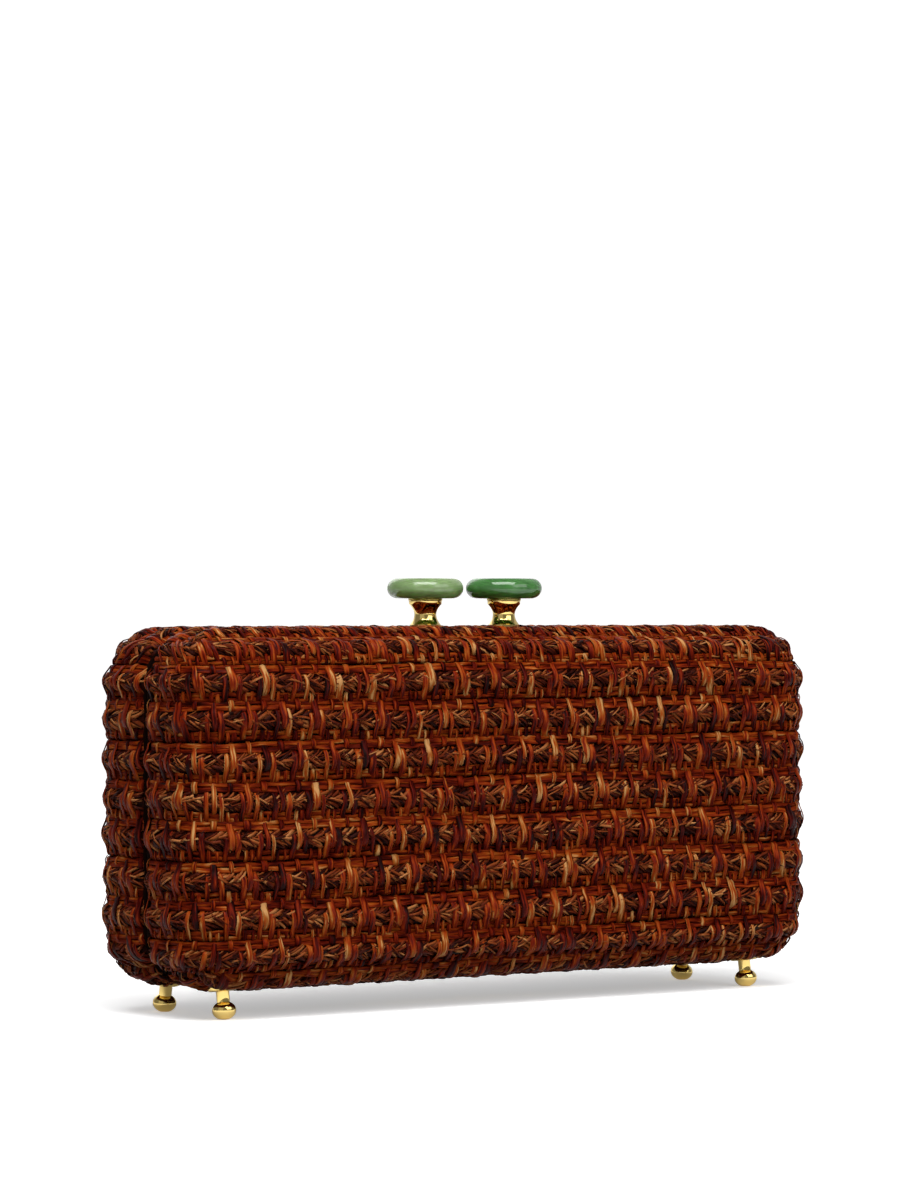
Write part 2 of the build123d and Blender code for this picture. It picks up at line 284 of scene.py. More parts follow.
# %% [markdown]
# First the points: a grid of one point per strand, one unit apart, then spread to the real pitch. Every
# other row moves along by the stagger, and a random vector from the fixed seed moves each point a little.
# Each point keeps its row, its place and a random tone for the dye.

# %% Points of the grid
columns_less = grow(MATH, {0: given["Columns"], 1: 1.0}, operation="SUBTRACT")
rows_less = grow(MATH, {0: given["Rows"], 1: 1.0}, operation="SUBTRACT")
points = grow("GeometryNodeMeshGrid", {
    "Size X": columns_less, "Size Y": rows_less, "Vertices X": given["Columns"], "Vertices Y": given["Rows"],
})
cell = grow("GeometryNodeInputPosition")
cell_y = grow("ShaderNodeSeparateXYZ", {0: cell}, out=1)
row_number = grow(MATH, {0: cell_y}, operation="ROUND")
stored = {"Geometry": points, "Name": "row", "Value": row_number}
points = grow(STORE, stored, **VALUE_PER_POINT)
odd = grow(MATH, {0: row_number, 1: 2.0}, operation="FLOORED_MODULO")
brick = grow(MATH, {0: odd, 1: given["Stagger"]}, operation="MULTIPLY")
brick = grow("ShaderNodeCombineXYZ", {0: brick})
spot = grow(VECTOR_MATH, {0: cell, 1: brick}, operation="ADD")
shaken = {**EITHER_WAY, "Seed": given["Seed"]}
shaken = grow("FunctionNodeRandomValue", shaken, data_type="FLOAT_VECTOR")
spot = {0: spot, 1: given["Pitch"], 2: given["Shift"]}
spot = grow(VECTOR_MATH, spot, operation="MULTIPLY_ADD")
spot = {0: shaken, 1: given["Place Spread"], 2: spot}
spot = grow(VECTOR_MATH, spot, operation="MULTIPLY_ADD")
points = grow("GeometryNodeSetPosition", {"Geometry": points, "Position": spot})
place = grow("ShaderNodeSeparateXYZ", {0: grow("GeometryNodeInputPosition")}, out=None).outputs
tone_seed = grow(MATH, {0: given["Seed"], 1: 1.0}, operation="ADD")
tone = grow("FunctionNodeRandomValue", {"Seed": tone_seed}, out=1, data_type="FLOAT")
for name, value in (("along", place[0]), ("across", place[1]), ("tone", tone)):
    stored = {"Geometry": points, "Name": name, "Value": value}
    points = grow(STORE, stored, **VALUE_PER_POINT)
print("grid", len(strands.nodes), "nodes")

# %% [markdown]
# Then one strand: a line one unit long, stretched to its length, bowed up in the middle by Hump, bent down
# at its ends by Dip and waved where it weaves over and under. The factors 4 and 16 bring the square and the
# fourth power of a half, where the line ends, up to one. A flattened circle is swept along the line. The
# strand stores its own length and width coordinates, which the material uses for the grain of the leaf.

# %% One strand
line = grow("GeometryNodeCurvePrimitiveLine", {"Start": (0, -0.5, 0), "End": (0, 0.5, 0)})
line = grow("GeometryNodeResampleCurve", {"Curve": line, "Count": given["Segments"]})
own = grow("ShaderNodeSeparateXYZ", {0: grow("GeometryNodeInputPosition")}, out=1)
run = grow(MATH, {0: own, 1: given["Length"]}, operation="MULTIPLY")
square = grow(MATH, {0: own, 1: own}, operation="MULTIPLY")
bow = grow(MATH, {0: square, 1: -4.0, 2: 1.0}, operation="MULTIPLY_ADD")
bow = grow(MATH, {0: bow, 1: given["Hump"]}, operation="MULTIPLY")
fourth = grow(MATH, {0: square, 1: square}, operation="MULTIPLY")
dive = grow(MATH, {0: fourth, 1: given["Dip"]}, operation="MULTIPLY")
rise = grow(MATH, {0: dive, 1: -16.0, 2: bow}, operation="MULTIPLY_ADD")
phase = grow(MATH, {0: run, 1: given["Wave Pitch"]}, operation="DIVIDE")
phase = grow(MATH, {0: phase, 1: 2 * math.pi}, operation="MULTIPLY")
swing = grow(MATH, {0: phase}, operation="SINE")
rise = grow(MATH, {0: swing, 1: given["Wave Height"], 2: rise}, operation="MULTIPLY_ADD")
stored = {"Geometry": line, "Name": "grain_along", "Value": run}
line = grow(STORE, stored, **VALUE_PER_POINT)
bent = grow("ShaderNodeCombineXYZ", {1: run, 2: rise})
line = grow("GeometryNodeSetPosition", {"Geometry": line, "Position": bent})
line = grow("GeometryNodeSetCurveNormal", {"Curve": line}, mode="Z_UP")
oval = grow("GeometryNodeCurvePrimitiveCircle", {"Resolution": given["Sides"], "Radius": 0.5})
flattened = grow("ShaderNodeCombineXYZ", {0: given["Width"], 1: given["Thickness"], 2: 1.0})
oval = grow("GeometryNodeTransform", {"Geometry": oval, "Scale": flattened})
oval_x = grow("ShaderNodeSeparateXYZ", {0: grow("GeometryNodeInputPosition")})
stored = {"Geometry": oval, "Name": "grain_across", "Value": oval_x}
oval = grow(STORE, stored, **VALUE_PER_POINT)
strand = grow("GeometryNodeCurveToMesh", {"Curve": line, "Profile Curve": oval, "Fill Caps": True})
print("strand", len(strands.nodes), "nodes")

# %% [markdown]
# Last, a strand on every point, each turned and sized a little differently by two more random vectors, then
# realized so that nothing depends on instances.

# %% Strands on the points
laid = {"Points": points, "Instance": strand}
for key, step, middle in (("Turn", 2.0, given["Turn"]), ("Size", 3.0, (1, 1, 1))):
    own_seed = grow(MATH, {0: given["Seed"], 1: step}, operation="ADD")
    varied = {**EITHER_WAY, "Seed": own_seed}
    varied = grow("FunctionNodeRandomValue", varied, data_type="FLOAT_VECTOR")
    varied = {0: varied, 1: given[key + " Spread"], 2: middle}
    laid["Rotation" if key == "Turn" else "Scale"] = grow(VECTOR_MATH, varied, operation="MULTIPLY_ADD")
laid = grow("GeometryNodeInstanceOnPoints", laid)
real = grow("GeometryNodeRealizeInstances", {0: laid})
done = grow("GeometryNodeSetMaterial", {"Geometry": real, "Material": given["Material"]})
grow("NodeGroupOutput", {0: done}, out=None)
print("strand tree", len(strands.nodes), "nodes")

# %% [markdown]
# ## Raffia
# Raffia is palm leaf split into ribbons and dyed, here in a mahogany brown that it takes unevenly: dark red
# where the leaf is dense, orange and tan where it is thin. Its surface is waxy, with fine grooves along the
# leaf. The tone attribute picks each strand's dye, a slow noise changes it along the leaf, and a stretched
# noise on the strand's own coordinates draws the grooves. Real grooves are about 0.1 mm apart. Here they are
# 0.6 mm, so that they show. Two ranges turn height above the cloth, in mm, into painted shade, which darkens
# the colour in the hollows of the weave, and into sheen, which is weaker there.

# %% Raffia materials
GROOVE_MM, GROOVE_RUN_MM, DRIFT_MM = 0.6, 5.0, 7.0
STRANDS_APART = 400.0
GROOVES = (1 / GROOVE_MM, 1 / GROOVE_RUN_MM, STRANDS_APART)
DRIFT = (0.0, 1 / DRIFT_MM, STRANDS_APART)
KEPT = ("tone", "grain_along", "grain_across", "depth")
WAX_SPREAD = (-0.1, 0.14)
SHADE_BY_HEIGHT = {1: 0.1, 2: 1.5, 3: 0.07, 4: 1.0}
SHEEN_BY_HEIGHT = {1: 0.6, 2: 2.4, 3: 0.0, 4: 0.055}


def raffia(name, dyes, weights, roughness):
    """weights are how much the strand's tone, the drift along it and the grooves choose the dye."""
    material = bpy.data.materials.new(name)
    material.use_nodes = True
    tree = material.node_tree
    shader = tree.nodes["Principled BSDF"]
    read = {}
    for key in KEPT:
        read[key] = add(tree, "ShaderNodeAttribute", out="Fac", attribute_name=key)
    leaf = {0: read["grain_across"], 1: read["grain_along"], 2: read["tone"]}
    leaf = add(tree, "ShaderNodeCombineXYZ", leaf)
    noises = []
    for scale, detail in ((GROOVES, 2.0), (DRIFT, 1.0)):
        at = add(tree, VECTOR_MATH, {0: leaf, 1: scale}, operation="MULTIPLY")
        at = {"Vector": at, "Scale": 1.0, "Detail": detail}
        noises.append(add(tree, "ShaderNodeTexNoise", at, out="Fac"))
    grooves, drift = noises
    dye = 0.5 - sum(weights) / 2
    for share, weight in zip((read["tone"], drift, grooves), weights):
        dye = add(tree, MATH, {0: share, 1: weight, 2: dye}, operation="MULTIPLY_ADD")
    ramp = add(tree, "ShaderNodeValToRGB", {0: dye}, out=None)
    stops = ramp.color_ramp.elements
    for i, (share, colour) in enumerate(dyes):
        stop = stops[i] if i < 2 else stops.new(share)
        stop.position = share
        stop.color = linear(colour)
    # Painted shade: the colour is darker the lower a point lies in the weave.
    hollow = add(tree, "ShaderNodeMapRange", {0: read["depth"], **SHADE_BY_HEIGHT})
    shaded = {0: 1.0, 6: ramp.outputs[0], 7: hollow}
    shaded = add(tree, "ShaderNodeMix", shaded, out=2, data_type="RGBA", blend_type="MULTIPLY")
    wax = {0: grooves, 3: roughness + WAX_SPREAD[0], 4: roughness + WAX_SPREAD[1]}
    wax = add(tree, "ShaderNodeMapRange", wax)
    bump = add(tree, "ShaderNodeBump", {"Strength": 0.7, "Distance": 0.00015, "Height": grooves})
    sheen = add(tree, "ShaderNodeMapRange", {0: read["depth"], **SHEEN_BY_HEIGHT})
    links = {"Base Color": shaded, "Roughness": wax, "Normal": bump, "Specular IOR Level": sheen}
    for key, socket in links.items():
        tree.links.new(socket, shader.inputs[key])
    shader.inputs["IOR"].default_value = 1.5
    return material


strap_raffia = raffia("dyed_raffia_straps", (
    (0.0, "#140201"), (0.25, "#3E0502"), (0.5, "#6A1904"),
    (0.7, "#8C360A"), (0.87, "#8F511E"), (1.0, "#B0804E"),
), (0.72, 0.3, 1.7), 0.36)
weft_raffia = raffia("dyed_raffia_wefts", (
    (0.0, "#1C0301"), (0.3, "#4E0D03"), (0.55, "#782507"), (0.8, "#92420F"), (1.0, "#AE7440"),
), (0.35, 1.0, 1.6), 0.36)
plait_raffia = raffia("dyed_raffia_plaits", (
    (0.0, "#0C0201"), (0.3, "#300B04"), (0.55, "#5C200A"), (0.78, "#7E401C"), (1.0, "#A47042"),
), (0.8, 0.4, 0.6), 0.42)
print("raffia", strap_raffia.name, weft_raffia.name, plait_raffia.name)

# %% [markdown]
# The backing is the cloth's ground, seen only at the bottom of the gaps, and its near black colour is painted
# shade there. It is mottled, as the lining, the board and the stones further down are, so one function mixes
# two colours by a cloudy noise for all of them.

# %% Mottled materials and the backing
def plain(name, colour, roughness, metallic=0.0):
    material = bpy.data.materials.new(name)
    material.use_nodes = True
    shader = material.node_tree.nodes["Principled BSDF"]
    shader.inputs["Base Color"].default_value = linear(colour)
    shader.inputs["Roughness"].default_value = roughness
    shader.inputs["Metallic"].default_value = metallic
    return material, material.node_tree, shader


def mottled(name, one, two, roughness, cloud_mm, detail, spread=None):
    """The colours change where the noise passes from the first to the last value of spread."""
    material, tree, shader = plain(name, one, roughness)
    at = add(tree, "ShaderNodeTexCoord", out="Object")
    clouds = {"Vector": at, "Scale": 1 / (cloud_mm * MM), "Detail": detail}
    clouds = add(tree, "ShaderNodeTexNoise", clouds, out="Fac")
    share = clouds
    if spread:
        share = add(tree, "ShaderNodeMapRange", {0: clouds, 1: spread[0], 2: spread[1]})
    colour = {0: share, 6: linear(one), 7: linear(two)}
    colour = add(tree, "ShaderNodeMix", colour, out=2, data_type="RGBA")
    tree.links.new(colour, shader.inputs["Base Color"])
    return material, tree, shader, clouds


THREAD_MM = 0.9
# Painted shade: the ground is near black because the bottom of the gaps lies in shade.
made = mottled("dark_ground_cloth", "#050201", "#160603", 0.95, THREAD_MM, 2.0)
shade_ground_cloth, tree, shader, threads = made
bump = add(tree, "ShaderNodeBump", {"Strength": 0.6, "Distance": 0.0002, "Height": threads})
tree.links.new(bump, shader.inputs["Normal"])
shader.inputs["Specular IOR Level"].default_value = 0.03
print("ground", shade_ground_cloth.name)

# %% [markdown]
# ## Drawing the weave flat
# Each kind of strand is one run of the tree, and the run's mesh is read into arrays.

# %% Run the tree and read it
READ = ("row", "along", "across", "tone", "grain_along", "grain_across")


def run_tree(settings):
    """Flat points, corners and sizes of the faces, and stored values of one run."""
    holder = show("loom", bpy.data.meshes.new("loom"))
    modifier = holder.modifiers.new("strands", "NODES")
    modifier.node_group = strands
    for name, value in settings.items():
        modifier[SOCKETS[name]] = float(value) if name in SIZES else value
    seen = holder.evaluated_get(bpy.context.evaluated_depsgraph_get())
    mesh = bpy.data.meshes.new_from_object(seen)
    holder.modifiers.remove(modifier)
    count = len(mesh.vertices)
    flat = np.empty(count * 3)
    mesh.vertices.foreach_get("co", flat)
    read = {name: np.empty(count) for name in READ}
    for name in READ:
        mesh.attributes[name].data.foreach_get("value", read[name])
    loops = np.empty(len(mesh.loops), int)
    mesh.loops.foreach_get("vertex_index", loops)
    totals = np.empty(len(mesh.polygons), int)
    mesh.polygons.foreach_get("loop_total", totals)
    bpy.data.objects.remove(holder)
    bpy.data.meshes.remove(mesh)
    return flat.reshape(-1, 3).T, loops, totals, read


print("values read from a run", len(READ))

# %% [markdown]
# Strands past the end of their row are dropped and the rest goes onto the pan. The ground under the strands
# rises over each plait, strip and small row, so fibres and straps are lifted by it. Long strands wobble a
# little on their own, and all wander a little with their row, since no row of a real cloth is straight.
# Both are sums of sines, given as sway in mm, run in mm per radian and phase.

# %% Draw one kind of strand
PLAIT_RISE, PLAIT_HALF = 1.7, 3.2
STRIP_RISE, STRIP_UP, STRIP_HALF = 0.8, 3.6, 1.45
SMALL_RISE, SMALL_UP, SMALL_HALF = 0.65, -3.8, 1.5
STRAP_PITCH = 10.0
END_MARGIN, LIP_MARGIN, OVERRUN = 0.5, 0.2, 2.0
WOBBLE = ((0.16, 3.7, 1), (0.08, 1.3, 0))
WANDER = ((0.3, 29, 2.3), (0.16, 11, 1.1))


def ground(s, row):
    own = s - ROW_OFFSET - row * ROW_PITCH
    plait = PLAIT_RISE * np.sqrt(np.maximum(1 - (own / PLAIT_HALF) ** 2, 0))
    strip = STRIP_RISE * np.exp(-((own - STRIP_UP) / STRIP_HALF) ** 4)
    small_row = SMALL_RISE * np.exp(-((own - SMALL_UP) / SMALL_HALF) ** 4)
    return np.maximum(plait, np.maximum(strip, small_row))


def draw_strands(material, seed, follow=True, row_length=0.0, tones=(0.0, 1.0), **sizes):
    settings = {
        "Columns": 26, "Rows": 2 * WALL_ROWS + 1, "Segments": 8, "Sides": 6, "Seed": seed, "Stagger": 0.5,
        "Pitch": (STRAP_PITCH, ROW_PITCH, 0.0), "Wave Pitch": STRAP_PITCH, "Material": material,
    }
    settings.update({name.replace("_", " "): value for name, value in sizes.items()})
    settings["Shift"] = tuple(a + b for a, b in zip(settings["Shift"], (0.0, ROW_OFFSET, 0.0)))
    (u, s, h), loops, totals, read = run_tree(settings)
    row = read["row"]
    limit = row_limit(row, read["across"])
    keep = np.abs(read["along"]) < limit - END_MARGIN
    keep &= np.abs(read["across"]) < wall_lip(read["across"]) + LIP_MARGIN
    if row_length:
        u = u * (limit + OVERRUN) / row_length
        for sway, run_mm, seeded in WOBBLE:
            s = s + sway * np.sin(u / run_mm + seeded * seed + row)
    if follow:
        h = h + ground(s, row)
    for sway, run_mm, phase_step in WANDER:
        s = s + sway * np.sin(u / run_mm + row * phase_step)
    kept_face = keep[loops[np.cumsum(totals) - totals]]
    new_index = np.cumsum(keep) - 1
    return {
        "points": lay_on_pan(u[keep], s[keep], h[keep], row[keep]),
        "loops": new_index[loops[np.repeat(kept_face, totals)]],
        "totals": totals[kept_face],
        "depth": h[keep],
        "tone": tones[0] + (tones[1] - tones[0]) * read["tone"][keep],
        "grain_along": read["grain_along"][keep],
        "grain_across": read["grain_across"][keep],
    }


print("straps every", STRAP_PITCH, "mm in rows every", ROW_PITCH, "mm")

# %% [markdown]
# ## The strands of one half
# A row of the cloth has, from the top: a flat strip of two wefts, a thick plait, and a narrow row of small
# squares. The plait is a core under short fibres that slant both ways like the two legs of a V, with a
# few strays. The core's tones stay at the dark end, as painted shade between the fibres.

# %% Plaits of one half
ROW_LENGTH = 119.0
ALONG = math.pi / 2
SLANT, STRAY_SLANT = 1.12, 1.4


def draw_plaits(seed):
    core = dict(
        Columns=1, Segments=110, Sides=8, Length=2 * ROW_LENGTH, Width=5.8, Thickness=2.7, Stagger=0.0,
        Wave_Height=0.1, Wave_Pitch=5.0, Shift=(0, 0, 0.15), Turn=(0, 0, ALONG),
    )
    fibre = dict(
        Columns=300, Pitch=(0.84, ROW_PITCH, 0), Sides=3, Segments=4, Length=5.4, Width=0.85, Thickness=0.34,
        Hump=0.15, Dip=0.3, Place_Spread=(0.5, 0.75, 0.16), Turn_Spread=(0.05, 0.4, 0.22),
        Size_Spread=(0.5, 0.25, 0.2),
    )
    stray = {
        **fibre, "Columns": 110, "Pitch": (2.3, ROW_PITCH, 0), "Width": 0.6, "Hump": 0.25,
        "Turn_Spread": (0.1, 0.4, 0.7),
    }
    return [
        # The core's tones stay at the dark end, as painted shade between the fibres.
        draw_strands(plait_raffia, seed, follow=False, row_length=ROW_LENGTH, tones=(0.0, 0.15), **core),
        draw_strands(plait_raffia, seed + 20, Shift=(0, 1.15, 0.1), Turn=(0, 0, -SLANT), **fibre),
        draw_strands(plait_raffia, seed + 40, Shift=(0, -1.1, 0.1), Turn=(0, 0, SLANT), **fibre),
        draw_strands(plait_raffia, seed + 60, Shift=(0, 0.1, 0.2), Turn=(0, 0, STRAY_SLANT), tones=(0.3, 1.0),
                     **stray),
    ]


print("fibres slant by", round(90 - math.degrees(SLANT)), "degrees from the row")

# %% [markdown]
# Warp straps come in threes: one long strap runs down from the strip over the plait, and two beside it
# start under the strip and run on over the small squares. Between the threes, short bits tie the strip and
# the small squares. A line of a table gives place in the cell, length, width, and for straps also hump,
# turn and the palest tone.

# %% Straps of one half
STRAPS = (
    ((0, 1.15, 0.44), 8.5, 1.9, 0.2, 0.05, 1.0),
    ((-1.75, -1.55, 0.34), 8.6, 1.75, 0.15, 0.02, 0.85),
    ((2.0, -1.55, 0.34), 8.6, 1.75, 0.15, 0.08, 1.0),
)
BITS = (((5.0, 3.95, 0.42), 3.3, 1.6), ((4.1, -4.05, 0.36), 3.4, 1.2), ((6.2, -4.05, 0.36), 3.4, 1.2))


def draw_straps(seed):
    strap = dict(
        Segments=9, Thickness=0.3, Dip=0.5, Place_Spread=(0.35, 0.2, 0.08), Turn_Spread=(0.03, 0.2, 0.07),
        Size_Spread=(0.32, 0.08, 0.1),
    )
    bit = {**strap, "Segments": 5, "Dip": 0.45, "Hump": 0.2}
    runs = []
    for i, (spot, length, width, hump, turn, palest) in enumerate(STRAPS):
        runs.append(draw_strands(strap_raffia, seed + 100 + 20 * i, Shift=spot, Length=length, Width=width,
                                 Hump=hump, Turn=(0, 0, turn), tones=(0.0, palest), **strap))
    for i, (spot, length, width) in enumerate(BITS):
        runs.append(draw_strands(strap_raffia, seed + 160 + 20 * i, Shift=spot, Length=length, Width=width,
                                 **bit))
    return runs


print("straps", len(STRAPS), "and bits", len(BITS), "in a cell")

# %% [markdown]
# Four wefts run along each row, two in the strip and two in the small squares, where they weave up and down
# twice as often. A line of the table gives a weft's place up the row, width, lift, wave height and wave
# pitch in mm.

# %% Wefts of one half
WEFTS = (
    (4.25, 1.35, 0.2, 0.08, STRAP_PITCH),
    (3.05, 1.3, 0.2, 0.1, STRAP_PITCH),
    (-3.2, 1.25, 0.14, 0.2, STRAP_PITCH / 2),
    (-4.5, 1.3, 0.14, 0.2, STRAP_PITCH / 2),
)


def draw_wefts(seed):
    weft = dict(
        Columns=1, Segments=190, Length=2 * ROW_LENGTH, Turn=(0, 0, ALONG), Place_Spread=(0, 0, 0.05),
        Thickness=0.36,
    )
    runs = []
    for i, (up, width, lift, wave, pitch) in enumerate(WEFTS):
        runs.append(draw_strands(weft_raffia, seed + 300 + 10 * i, row_length=ROW_LENGTH, Shift=(0, up, lift),
                                 Width=width, Wave_Height=wave, Wave_Pitch=pitch, **weft))
    return runs


print("wefts in a row", len(WEFTS))

# %% [markdown]
# ## Making the pieces
# The runs of one kind become one mesh per half. The back half is the front half turned round, drawn with
# another seed so that no strand repeats. Around the knob and the feet the strands are pressed down under
# the metal.

# %% Join runs into a piece
KNOB = (9.1, -5.0)
FOOT_X, FOOT_Y = 84.4, -13.1
KNOB_REACH, KNOB_LEVEL = 4.4, 0.1
FOOT_REACH, FOOT_LEVEL = 4.3, 0.9


def press_under_metal(points):
    near_knob = np.hypot(points[:, 0] - KNOB[0], points[:, 1] - KNOB[1]) < KNOB_REACH
    top = HALF_HEIGHT + KNOB_LEVEL
    points[:, 2] = np.where(near_knob & (points[:, 2] > top), top, points[:, 2])
    bottom = -HALF_HEIGHT + FOOT_LEVEL
    for x in (-FOOT_X, FOOT_X):
        near_foot = np.hypot(points[:, 0] - x, points[:, 1] - FOOT_Y) < FOOT_REACH
        points[:, 2] = np.where(near_foot & (points[:, 2] < bottom), bottom, points[:, 2])
    return points


def woven_piece(name, runs, material, back):
    starts = np.cumsum([0] + [len(run["points"]) for run in runs])
    points = press_under_metal(np.concatenate([run["points"] for run in runs]))
    points = points * [-1, -1, 1] if back else points
    points = (points + [0, 0, MID_HEIGHT]) * MM
    loops = np.concatenate([run["loops"] + start for run, start in zip(runs, starts)])
    totals = np.concatenate([run["totals"] for run in runs])
    mesh = bpy.data.meshes.new(name)
    mesh.vertices.add(len(points))
    mesh.vertices.foreach_set("co", points.ravel())
    mesh.loops.add(len(loops))
    mesh.loops.foreach_set("vertex_index", loops.astype(np.int32))
    mesh.polygons.add(len(totals))
    mesh.polygons.foreach_set("loop_start", (np.cumsum(totals) - totals).astype(np.int32))
    mesh.polygons.foreach_set("loop_total", totals.astype(np.int32))
    mesh.update(calc_edges=True)
    mesh.validate()
    mesh.shade_smooth()
    for key in KEPT:
        values = np.concatenate([run[key] for run in runs]).astype(np.float32)
        mesh.attributes.new(key, "FLOAT", "POINT").data.foreach_set("value", values)
    mesh.materials.append(material)
    print(name, "triangles", int((totals - 2).sum()))
    return show(name, mesh)


print("strands keep", KEPT)

# %% [markdown]
# ## The cloth's ground
# Under the strands each half has a smooth closed shell, made of rings that run from the seam lip over the
# rounded edge to the face, outside and inside, so the cover keeps the solid's form and thickness. Turned
# pieces are closed stacks of rings too, so two helpers join rings and make a smooth object of them.

# %% Join rings, make a smooth object
SHARP_DEG = 50


def bridge(shape, rings):
    rings = [[shape.verts.new(spot) for spot in spots] for spots in rings]
    for one, two in zip(rings, rings[1:]):
        for i in range(len(one)):
            j = (i + 1) % len(one)
            shape.faces.new((one[i], one[j], two[j], two[i]))
    shape.faces.new(rings[0])
    shape.faces.new(rings[-1])


def smooth_object(name, shape, material, keep_edges=True):
    data = bpy.data.meshes.new(name)
    shape.to_mesh(data)
    shape.free()
    data.shade_smooth()
    if keep_edges:
        data.set_sharp_from_angle(angle=math.radians(SHARP_DEG))
    data.materials.append(material)
    return show(name, data)


print("edges sharper than", SHARP_DEG, "degrees stay")

# %% [markdown]
# A ring is a rounded rectangle. It stops short of the seam, and further short of it near the hinge.

# %% Shell of rings
RING_POINTS, EDGE_RINGS = 24, 8
COVER_THICKNESS = 3.0
HINGE_BAND = 3.0
WELD_MM = 0.0001


def ring(inset, turn, y):
    """The ring at depth y, for a skin inset from the pan at a turn of the edge."""
    bend = PLATE_CORNER + (EDGE_RADIUS - inset) * math.sin(turn)
    spots = []
    for quarter in range(4):
        centre_x = (PLATE_X - PLATE_CORNER) * (1 if quarter in (0, 3) else -1)
        centre_z = (PLATE_Z - PLATE_CORNER) * (1 if quarter in (0, 1) else -1)
        for step in range(RING_POINTS):
            angle = math.pi / 2 * (quarter + step / (RING_POINTS - 1))
            z = centre_z + bend * math.sin(angle)
            lip = HINGE_LIP if z < HINGE_LEVEL + HINGE_BAND else GROUND_LIP
            spots.append((centre_x + bend * math.cos(angle), min(y, -lip), z))
    return spots


def skin_rings(inset):
    rings = [ring(inset, ALONG, 0.0)]
    for step in range(EDGE_RINGS + 1):
        turn = ALONG * (1 - step / EDGE_RINGS)
        rings.append(ring(inset, turn, -PLATE_Y - (EDGE_RADIUS - inset) * math.cos(turn)))
    return rings


def ground_shell(name, back):
    shell = bmesh.new()
    bridge(shell, skin_rings(COVER_THICKNESS)[::-1] + skin_rings(LAND_INSET))
    bmesh.ops.remove_doubles(shell, verts=shell.verts, dist=WELD_MM)
    bmesh.ops.recalc_face_normals(shell, faces=shell.faces)
    turn_round = Matrix.Rotation(math.pi if back else 0, 4, "Z")
    shell.transform(Matrix.Scale(MM, 4) @ Matrix.Translation((0, 0, MID_HEIGHT)) @ turn_round)
    return smooth_object(name, shell, shade_ground_cloth, keep_edges=False)


print("shell of", 2 * (EDGE_RINGS + 2), "rings")

# %% [markdown]
# The cover is cloth stretched over the moulded shell and glued, so it rides its half with its strands.

# %% Cover both halves
for side, seed in (("front", 11), ("back", 2011)):
    behind = side == "back"
    cover = ground_shell(f"{side}_cover_ground", behind)
    plaits = woven_piece(f"{side}_raffia_plaits", draw_plaits(seed), plait_raffia, behind)
    straps = woven_piece(f"{side}_raffia_straps", draw_straps(seed), strap_raffia, behind)
    wefts = woven_piece(f"{side}_raffia_wefts", draw_wefts(seed), weft_raffia, behind)
    for piece in (cover, plaits, straps, wefts):
        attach(piece, f"{side}_half")
        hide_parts(f"{side}_woven_cover")

# %% [markdown]
# ## Gilt brass
# The posts, feet, frames and hinge are brass, turned or folded, polished and plated with a thin pale gold.
# A metal keeps the default IOR. A faint noise in the roughness stands for handling.

# %% Metals
WEAR = (0.6, 1.5)


def metal(name, colour, roughness, grain_mm, bump_height):
    material, tree, shader = plain(name, colour, roughness, metallic=1.0)
    at = add(tree, "ShaderNodeTexCoord", out="Object")
    noise = {"Vector": at, "Scale": 1 / (grain_mm * MM), "Detail": 3.0}
    noise = add(tree, "ShaderNodeTexNoise", noise, out="Fac")
    worn = add(tree, "ShaderNodeMapRange", {0: noise, 3: roughness * WEAR[0], 4: roughness * WEAR[1]})
    tree.links.new(worn, shader.inputs["Roughness"])
    bump = add(tree, "ShaderNodeBump", {"Strength": 0.2, "Distance": bump_height * MM, "Height": noise})
    tree.links.new(bump, shader.inputs["Normal"])
    return material


gilt_brass = metal("polished_gilt_brass", "#E9CB7C", 0.07, 3.0, 0.015)
nickel = metal("satin_nickel_plate", "#B9B8B5", 0.3, 1.2, 0.02)
steel = metal("brushed_steel", "#9C9C9E", 0.38, 0.6, 0.03)
print("metals", gilt_brass.name, nickel.name, steel.name)

# %% [markdown]
# ## Green stone
# The knobs are polished discs of green quartz. The right one is deep green and the left one paler and
# milkier. Light goes a little way into such stone, so the shader scatters it under the surface, and a soft
# cloudy noise of about 4 mm changes its green.

# %% Stone materials
CLOUD_MM, VEINS = 4.0, (0.35, 0.7)
STONE = {
    "IOR": 1.54, "Subsurface Weight": 1.0, "Subsurface Radius": (0.010, 0.013, 0.009),
    "Subsurface Scale": 1.0, "Transmission Weight": 0.2,
}


def green_stone(name, deep, pale):
    material, _, shader, _ = mottled(name, deep, pale, 0.05, CLOUD_MM, 4.0, VEINS)
    for key, value in STONE.items():
        shader.inputs[key].default_value = value
    return material


dark_stone = green_stone("deep_green_aventurine", "#3C6A36", "#4A7C42")
pale_stone = green_stone("pale_green_aventurine", "#788F62", "#88A070")
print("stones", dark_stone.name, pale_stone.name)

# %% [markdown]
# ## Turned pieces
# The discs, posts and feet are round, and the solids draw them with flat sides. Here each is a profile spun
# round its axis, with the smooth curves of a lathe.

# %% Spin a profile
RIM_STEPS = 24


def lathe(name, spots, seat, axis, material, segments=72):
    turned_piece = bmesh.new()
    lean = Vector((0, 0, 1)).rotation_difference(Vector(axis)).to_matrix().to_4x4()
    turns = [2 * math.pi * i / segments for i in range(segments)]
    bridge(turned_piece, [[(r * math.cos(t), r * math.sin(t), height) for t in turns] for r, height in spots])
    bmesh.ops.recalc_face_normals(turned_piece, faces=turned_piece.faces)
    turned_piece.transform(Matrix.Scale(MM, 4) @ Matrix.Translation(seat) @ lean)
    return smooth_object(name, turned_piece, material)


def arc(centre, radii, first_deg, last_deg, steps):
    turns = [math.radians(first_deg + (last_deg - first_deg) * i / steps) for i in range(steps + 1)]
    return [(centre[0] + radii[0] * math.cos(t), centre[1] + radii[1] * math.sin(t)) for t in turns]


print("a half round in", len(arc((0, 0), (1, 1), -90, 90, RIM_STEPS)), "points")

